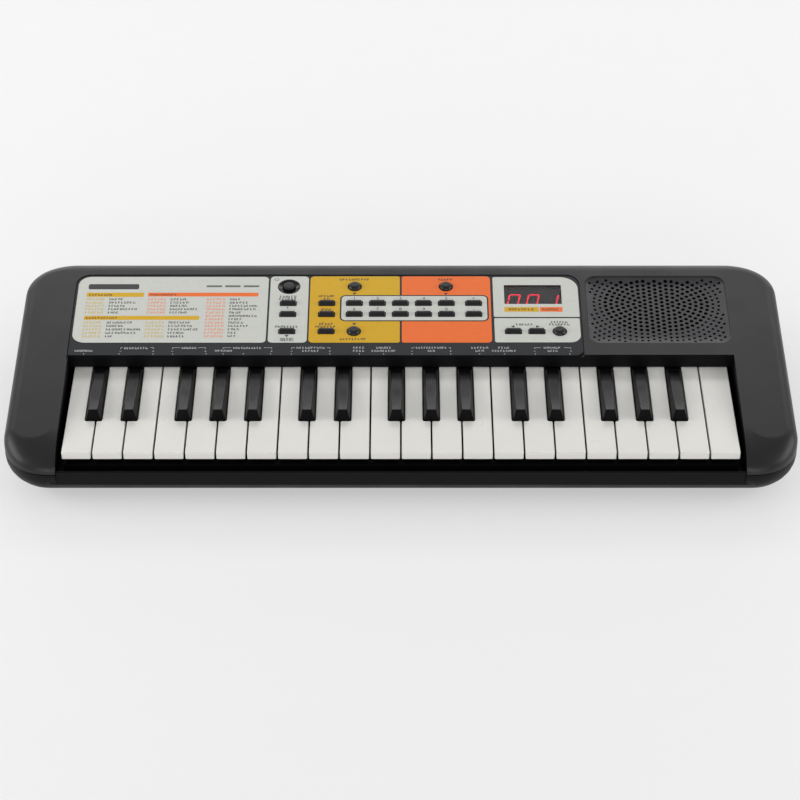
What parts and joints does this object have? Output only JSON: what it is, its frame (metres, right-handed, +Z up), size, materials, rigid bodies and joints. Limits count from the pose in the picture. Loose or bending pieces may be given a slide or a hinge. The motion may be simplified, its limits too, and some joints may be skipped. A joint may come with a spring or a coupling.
{
  "type": "toy electronic keyboard",
  "caption": "Portable toy keyboard with hinged mini keys, a sloping control panel of sprung buttons, a digit display, a perforated speaker recess and a battery door.",
  "frame": {"origin": "on the surface that the keyboard stands on, under the middle of its case", "axes": "+X to the player's right, along the keys; +Y away from the player; +Z up"},
  "size_m": [0.506, 0.201, 0.0552],
  "materials": {
    "case_charcoal": "fine matt texture",
    "case_black": "fine matt texture",
    "panel_print": "printed satin sheet",
    "white_keys": "semi gloss",
    "black_keys": "semi gloss",
    "buttons": "satin",
    "display_window": "smoked clear",
    "speaker_metal": "plated",
    "board_laminate": "solder mask",
    "chassis_black": "as moulded",
    "contact_rubber": "silicone"
  },
  "bodies": {
    "case": {"upper_case": "case_charcoal", "lower_case": "case_black", "control_panel": "panel_print", "display_lens": "display_window", "speaker_driver": "speaker_metal", "main_board": "board_laminate", "key_chassis": "chassis_black", "key_contact_strip": "contact_rubber"},
    "battery_door": {"battery_door": "case_black"},
    "white_key_e2": {"white_key_e2": "white_keys"},
    "black_key_f_sharp2": {"black_key_f_sharp2": "black_keys"},
    "number_pad": {"number_pad": "buttons"},
    "start_stop_button": {"start_stop_button": "buttons"},
    "power_button": {"power_button": "buttons"},
    "octave_up_button": {"octave_up_button": "buttons"},
    "white_key_c1": {"white_key_c1": "white_keys"},
    "black_key_c_sharp1": {"black_key_c_sharp1": "black_keys"},
    "white_key_d1": {"white_key_d1": "white_keys"},
    "black_key_d_sharp1": {"black_key_d_sharp1": "black_keys"},
    "white_key_e1": {"white_key_e1": "white_keys"},
    "white_key_f1": {"white_key_f1": "white_keys"},
    "black_key_f_sharp1": {"black_key_f_sharp1": "black_keys"},
    "white_key_g1": {"white_key_g1": "white_keys"},
    "black_key_g_sharp1": {"black_key_g_sharp1": "black_keys"},
    "white_key_a1": {"white_key_a1": "white_keys"},
    "black_key_a_sharp1": {"black_key_a_sharp1": "black_keys"},
    "white_key_b1": {"white_key_b1": "white_keys"},
    "white_key_c2": {"white_key_c2": "white_keys"},
    "black_key_c_sharp2": {"black_key_c_sharp2": "black_keys"},
    "white_key_d2": {"white_key_d2": "white_keys"},
    "black_key_d_sharp2": {"black_key_d_sharp2": "black_keys"},
    "white_key_f2": {"white_key_f2": "white_keys"},
    "white_key_g2": {"white_key_g2": "white_keys"},
    "black_key_g_sharp2": {"black_key_g_sharp2": "black_keys"},
    "white_key_a2": {"white_key_a2": "white_keys"},
    "black_key_a_sharp2": {"black_key_a_sharp2": "black_keys"},
    "white_key_b2": {"white_key_b2": "white_keys"},
    "white_key_c3": {"white_key_c3": "white_keys"},
    "black_key_c_sharp3": {"black_key_c_sharp3": "black_keys"},
    "white_key_d3": {"white_key_d3": "white_keys"},
    "black_key_d_sharp3": {"black_key_d_sharp3": "black_keys"},
    "white_key_e3": {"white_key_e3": "white_keys"},
    "white_key_f3": {"white_key_f3": "white_keys"},
    "black_key_f_sharp3": {"black_key_f_sharp3": "black_keys"},
    "white_key_g3": {"white_key_g3": "white_keys"},
    "black_key_g_sharp3": {"black_key_g_sharp3": "black_keys"},
    "white_key_a3": {"white_key_a3": "white_keys"},
    "black_key_a_sharp3": {"black_key_a_sharp3": "black_keys"},
    "white_key_b3": {"white_key_b3": "white_keys"},
    "white_key_c4": {"white_key_c4": "white_keys"},
    "volume_up_button": {"volume_up_button": "buttons"},
    "volume_down_button": {"volume_down_button": "buttons"},
    "function_button": {"function_button": "buttons"},
    "tempo_button": {"tempo_button": "buttons"},
    "mute_button": {"mute_button": "buttons"},
    "fill_button": {"fill_button": "buttons"},
    "octave_down_button": {"octave_down_button": "buttons"},
    "song_style_button": {"song_style_button": "buttons"},
    "voice_button": {"voice_button": "buttons"},
    "portable_button": {"portable_button": "buttons"}
  },
  "joints": [
    {"name": "battery_door_swing", "type": "hinge", "parent": "case", "child": "battery_door", "pos_m": [0, 0.0155, 0.0034], "axis": [-1, 0, 0], "range_deg": [0, 75]},
    {"name": "white_key_e2_press", "type": "hinge", "parent": "case", "child": "white_key_e2", "pos_m": [-0.02932, 0.024, 0.029], "axis": [1, 0, 0], "range_deg": [0, 2.5], "stiffness_Nm_per_rad": 0.4, "springref_deg": -4.01},
    {"name": "black_key_f_sharp2_press", "type": "hinge", "parent": "case", "child": "black_key_f_sharp2", "pos_m": [-0.0028, 0.024, 0.029], "axis": [1, 0, 0], "range_deg": [0, 2.5], "stiffness_Nm_per_rad": 0.4, "springref_deg": -4.01},
    {"name": "number_pad_press", "type": "slide", "parent": "case", "child": "number_pad", "axis": [0, 0.0958, -0.9954], "range_m": [0, 0.001], "stiffness_N_per_m": 900, "springref_m": -0.001},
    {"name": "start_stop_button_press", "type": "slide", "parent": "case", "child": "start_stop_button", "axis": [0, 0.0958, -0.9954], "range_m": [0, 0.001], "stiffness_N_per_m": 600, "springref_m": -0.001},
    {"name": "power_button_press", "type": "slide", "parent": "case", "child": "power_button", "axis": [0, 0.0958, -0.9954], "range_m": [0, 0.001], "stiffness_N_per_m": 600, "springref_m": -0.001},
    {"name": "octave_up_button_press", "type": "slide", "parent": "case", "child": "octave_up_button", "axis": [0, 0.0958, -0.9954], "range_m": [0, 0.001], "stiffness_N_per_m": 600, "springref_m": -0.001},
    {"name": "white_key_c1_press", "type": "hinge", "parent": "case", "child": "white_key_c1", "pos_m": [-0.20523, 0.024, 0.029], "axis": [1, 0, 0], "range_deg": [0, 2.5], "stiffness_Nm_per_rad": 0.4, "springref_deg": -4.01},
    {"name": "black_key_c_sharp1_press", "type": "hinge", "parent": "case", "child": "black_key_c_sharp1", "pos_m": [-0.19701, 0.024, 0.029], "axis": [1, 0, 0], "range_deg": [0, 2.5], "stiffness_Nm_per_rad": 0.4, "springref_deg": -4.01},
    {"name": "white_key_d1_press", "type": "hinge", "parent": "case", "child": "white_key_d1", "pos_m": [-0.18568, 0.024, 0.029], "axis": [1, 0, 0], "range_deg": [0, 2.5], "stiffness_Nm_per_rad": 0.4, "springref_deg": -4.01},
    {"name": "black_key_d_sharp1_press", "type": "hinge", "parent": "case", "child": "black_key_d_sharp1", "pos_m": [-0.17416, 0.024, 0.029], "axis": [1, 0, 0], "range_deg": [0, 2.5], "stiffness_Nm_per_rad": 0.4, "springref_deg": -4.01},
    {"name": "white_key_e1_press", "type": "hinge", "parent": "case", "child": "white_key_e1", "pos_m": [-0.16614, 0.024, 0.029], "axis": [1, 0, 0], "range_deg": [0, 2.5], "stiffness_Nm_per_rad": 0.4, "springref_deg": -4.01},
    {"name": "white_key_f1_press", "type": "hinge", "parent": "case", "child": "white_key_f1", "pos_m": [-0.14659, 0.024, 0.029], "axis": [1, 0, 0], "range_deg": [0, 2.5], "stiffness_Nm_per_rad": 0.4, "springref_deg": -4.01},
    {"name": "black_key_f_sharp1_press", "type": "hinge", "parent": "case", "child": "black_key_f_sharp1", "pos_m": [-0.13962, 0.024, 0.029], "axis": [1, 0, 0], "range_deg": [0, 2.5], "stiffness_Nm_per_rad": 0.4, "springref_deg": -4.01},
    {"name": "white_key_g1_press", "type": "hinge", "parent": "case", "child": "white_key_g1", "pos_m": [-0.12704, 0.024, 0.029], "axis": [1, 0, 0], "range_deg": [0, 2.5], "stiffness_Nm_per_rad": 0.4, "springref_deg": -4.01},
    {"name": "black_key_g_sharp1_press", "type": "hinge", "parent": "case", "child": "black_key_g_sharp1", "pos_m": [-0.11727, 0.024, 0.029], "axis": [1, 0, 0], "range_deg": [0, 2.5], "stiffness_Nm_per_rad": 0.4, "springref_deg": -4.01},
    {"name": "white_key_a1_press", "type": "hinge", "parent": "case", "child": "white_key_a1", "pos_m": [-0.1075, 0.024, 0.029], "axis": [1, 0, 0], "range_deg": [0, 2.5], "stiffness_Nm_per_rad": 0.4, "springref_deg": -4.01},
    {"name": "black_key_a_sharp1_press", "type": "hinge", "parent": "case", "child": "black_key_a_sharp1", "pos_m": [-0.09493, 0.024, 0.029], "axis": [1, 0, 0], "range_deg": [0, 2.5], "stiffness_Nm_per_rad": 0.4, "springref_deg": -4.01},
    {"name": "white_key_b1_press", "type": "hinge", "parent": "case", "child": "white_key_b1", "pos_m": [-0.08796, 0.024, 0.029], "axis": [1, 0, 0], "range_deg": [0, 2.5], "stiffness_Nm_per_rad": 0.4, "springref_deg": -4.01},
    {"name": "white_key_c2_press", "type": "hinge", "parent": "case", "child": "white_key_c2", "pos_m": [-0.06841, 0.024, 0.029], "axis": [1, 0, 0], "range_deg": [0, 2.5], "stiffness_Nm_per_rad": 0.4, "springref_deg": -4.01},
    {"name": "black_key_c_sharp2_press", "type": "hinge", "parent": "case", "child": "black_key_c_sharp2", "pos_m": [-0.06019, 0.024, 0.029], "axis": [1, 0, 0], "range_deg": [0, 2.5], "stiffness_Nm_per_rad": 0.4, "springref_deg": -4.01},
    {"name": "white_key_d2_press", "type": "hinge", "parent": "case", "child": "white_key_d2", "pos_m": [-0.04886, 0.024, 0.029], "axis": [1, 0, 0], "range_deg": [0, 2.5], "stiffness_Nm_per_rad": 0.4, "springref_deg": -4.01},
    {"name": "black_key_d_sharp2_press", "type": "hinge", "parent": "case", "child": "black_key_d_sharp2", "pos_m": [-0.03734, 0.024, 0.029], "axis": [1, 0, 0], "range_deg": [0, 2.5], "stiffness_Nm_per_rad": 0.4, "springref_deg": -4.01},
    {"name": "white_key_f2_press", "type": "hinge", "parent": "case", "child": "white_key_f2", "pos_m": [-0.00977, 0.024, 0.029], "axis": [1, 0, 0], "range_deg": [0, 2.5], "stiffness_Nm_per_rad": 0.4, "springref_deg": -4.01},
    {"name": "white_key_g2_press", "type": "hinge", "parent": "case", "child": "white_key_g2", "pos_m": [0.00977, 0.024, 0.029], "axis": [1, 0, 0], "range_deg": [0, 2.5], "stiffness_Nm_per_rad": 0.4, "springref_deg": -4.01},
    {"name": "black_key_g_sharp2_press", "type": "hinge", "parent": "case", "child": "black_key_g_sharp2", "pos_m": [0.01954, 0.024, 0.029], "axis": [1, 0, 0], "range_deg": [0, 2.5], "stiffness_Nm_per_rad": 0.4, "springref_deg": -4.01},
    {"name": "white_key_a2_press", "type": "hinge", "parent": "case", "child": "white_key_a2", "pos_m": [0.02932, 0.024, 0.029], "axis": [1, 0, 0], "range_deg": [0, 2.5], "stiffness_Nm_per_rad": 0.4, "springref_deg": -4.01},
    {"name": "black_key_a_sharp2_press", "type": "hinge", "parent": "case", "child": "black_key_a_sharp2", "pos_m": [0.04189, 0.024, 0.029], "axis": [1, 0, 0], "range_deg": [0, 2.5], "stiffness_Nm_per_rad": 0.4, "springref_deg": -4.01},
    {"name": "white_key_b2_press", "type": "hinge", "parent": "case", "child": "white_key_b2", "pos_m": [0.04886, 0.024, 0.029], "axis": [1, 0, 0], "range_deg": [0, 2.5], "stiffness_Nm_per_rad": 0.4, "springref_deg": -4.01},
    {"name": "white_key_c3_press", "type": "hinge", "parent": "case", "child": "white_key_c3", "pos_m": [0.06841, 0.024, 0.029], "axis": [1, 0, 0], "range_deg": [0, 2.5], "stiffness_Nm_per_rad": 0.4, "springref_deg": -4.01},
    {"name": "black_key_c_sharp3_press", "type": "hinge", "parent": "case", "child": "black_key_c_sharp3", "pos_m": [0.07663, 0.024, 0.029], "axis": [1, 0, 0], "range_deg": [0, 2.5], "stiffness_Nm_per_rad": 0.4, "springref_deg": -4.01},
    {"name": "white_key_d3_press", "type": "hinge", "parent": "case", "child": "white_key_d3", "pos_m": [0.08796, 0.024, 0.029], "axis": [1, 0, 0], "range_deg": [0, 2.5], "stiffness_Nm_per_rad": 0.4, "springref_deg": -4.01},
    {"name": "black_key_d_sharp3_press", "type": "hinge", "parent": "case", "child": "black_key_d_sharp3", "pos_m": [0.09948, 0.024, 0.029], "axis": [1, 0, 0], "range_deg": [0, 2.5], "stiffness_Nm_per_rad": 0.4, "springref_deg": -4.01},
    {"name": "white_key_e3_press", "type": "hinge", "parent": "case", "child": "white_key_e3", "pos_m": [0.1075, 0.024, 0.029], "axis": [1, 0, 0], "range_deg": [0, 2.5], "stiffness_Nm_per_rad": 0.4, "springref_deg": -4.01},
    {"name": "white_key_f3_press", "type": "hinge", "parent": "case", "child": "white_key_f3", "pos_m": [0.12704, 0.024, 0.029], "axis": [1, 0, 0], "range_deg": [0, 2.5], "stiffness_Nm_per_rad": 0.4, "springref_deg": -4.01},
    {"name": "black_key_f_sharp3_press", "type": "hinge", "parent": "case", "child": "black_key_f_sharp3", "pos_m": [0.13402, 0.024, 0.029], "axis": [1, 0, 0], "range_deg": [0, 2.5], "stiffness_Nm_per_rad": 0.4, "springref_deg": -4.01},
    {"name": "white_key_g3_press", "type": "hinge", "parent": "case", "child": "white_key_g3", "pos_m": [0.14659, 0.024, 0.029], "axis": [1, 0, 0], "range_deg": [0, 2.5], "stiffness_Nm_per_rad": 0.4, "springref_deg": -4.01},
    {"name": "black_key_g_sharp3_press", "type": "hinge", "parent": "case", "child": "black_key_g_sharp3", "pos_m": [0.15636, 0.024, 0.029], "axis": [1, 0, 0], "range_deg": [0, 2.5], "stiffness_Nm_per_rad": 0.4, "springref_deg": -4.01},
    {"name": "white_key_a3_press", "type": "hinge", "parent": "case", "child": "white_key_a3", "pos_m": [0.16614, 0.024, 0.029], "axis": [1, 0, 0], "range_deg": [0, 2.5], "stiffness_Nm_per_rad": 0.4, "springref_deg": -4.01},
    {"name": "black_key_a_sharp3_press", "type": "hinge", "parent": "case", "child": "black_key_a_sharp3", "pos_m": [0.17871, 0.024, 0.029], "axis": [1, 0, 0], "range_deg": [0, 2.5], "stiffness_Nm_per_rad": 0.4, "springref_deg": -4.01},
    {"name": "white_key_b3_press", "type": "hinge", "parent": "case", "child": "white_key_b3", "pos_m": [0.18568, 0.024, 0.029], "axis": [1, 0, 0], "range_deg": [0, 2.5], "stiffness_Nm_per_rad": 0.4, "springref_deg": -4.01},
    {"name": "white_key_c4_press", "type": "hinge", "parent": "case", "child": "white_key_c4", "pos_m": [0.20523, 0.024, 0.029], "axis": [1, 0, 0], "range_deg": [0, 2.5], "stiffness_Nm_per_rad": 0.4, "springref_deg": -4.01},
    {"name": "volume_up_button_press", "type": "slide", "parent": "case", "child": "volume_up_button", "axis": [0, 0.0958, -0.9954], "range_m": [0, 0.001], "stiffness_N_per_m": 600, "springref_m": -0.001},
    {"name": "volume_down_button_press", "type": "slide", "parent": "case", "child": "volume_down_button", "axis": [0, 0.0958, -0.9954], "range_m": [0, 0.001], "stiffness_N_per_m": 600, "springref_m": -0.001},
    {"name": "function_button_press", "type": "slide", "parent": "case", "child": "function_button", "axis": [0, 0.0958, -0.9954], "range_m": [0, 0.001], "stiffness_N_per_m": 600, "springref_m": -0.001},
    {"name": "tempo_button_press", "type": "slide", "parent": "case", "child": "tempo_button", "axis": [0, 0.0958, -0.9954], "range_m": [0, 0.001], "stiffness_N_per_m": 600, "springref_m": -0.001},
    {"name": "mute_button_press", "type": "slide", "parent": "case", "child": "mute_button", "axis": [0, 0.0958, -0.9954], "range_m": [0, 0.001], "stiffness_N_per_m": 600, "springref_m": -0.001},
    {"name": "fill_button_press", "type": "slide", "parent": "case", "child": "fill_button", "axis": [0, 0.0958, -0.9954], "range_m": [0, 0.001], "stiffness_N_per_m": 600, "springref_m": -0.001},
    {"name": "octave_down_button_press", "type": "slide", "parent": "case", "child": "octave_down_button", "axis": [0, 0.0958, -0.9954], "range_m": [0, 0.001], "stiffness_N_per_m": 600, "springref_m": -0.001},
    {"name": "song_style_button_press", "type": "slide", "parent": "case", "child": "song_style_button", "axis": [0, 0.0958, -0.9954], "range_m": [0, 0.001], "stiffness_N_per_m": 600, "springref_m": -0.001},
    {"name": "voice_button_press", "type": "slide", "parent": "case", "child": "voice_button", "axis": [0, 0.0958, -0.9954], "range_m": [0, 0.001], "stiffness_N_per_m": 600, "springref_m": -0.001},
    {"name": "portable_button_press", "type": "slide", "parent": "case", "child": "portable_button", "axis": [0, 0.0958, -0.9954], "range_m": [0, 0.001], "stiffness_N_per_m": 600, "springref_m": -0.001}
  ]
}
